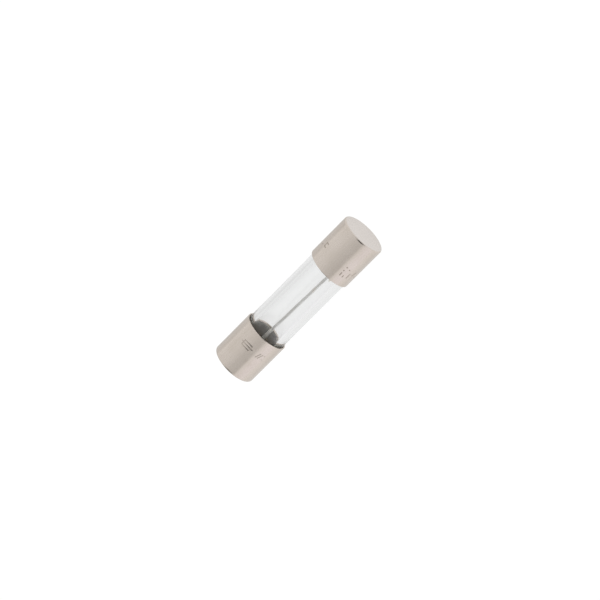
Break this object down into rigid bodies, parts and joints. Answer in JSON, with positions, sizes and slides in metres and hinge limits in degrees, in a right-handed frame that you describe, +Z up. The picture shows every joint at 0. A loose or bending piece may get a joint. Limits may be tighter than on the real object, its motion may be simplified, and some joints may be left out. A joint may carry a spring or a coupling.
{
  "type": "cartridge fuse",
  "caption": "Miniature cylindrical cartridge fuse: clear glass tube closed by plated metal end caps, with a straight fuse wire soldered between them inside the tube.",
  "frame": {"origin": "the middle of the fuse, on its axis, midway between the two end faces", "axes": "+X along the fuse's axis towards the right cap's end face, +Z up with the fuse lying on its side, +Y across"},
  "size_m": [0.02, 0.005, 0.005],
  "materials": {
    "glass": "polished",
    "cap_plating": "satin",
    "wire": "satin",
    "solder": "satin",
    "cement": "matte"
  },
  "bodies": {
    "root": {"glass_tube": "glass", "end_cap_left": "cap_plating", "end_cap_right": "cap_plating", "fuse_wire": "wire", "solder_left": "solder", "solder_right": "solder", "cement_left": "cement", "cement_right": "cement"}
  },
  "joints": []
}
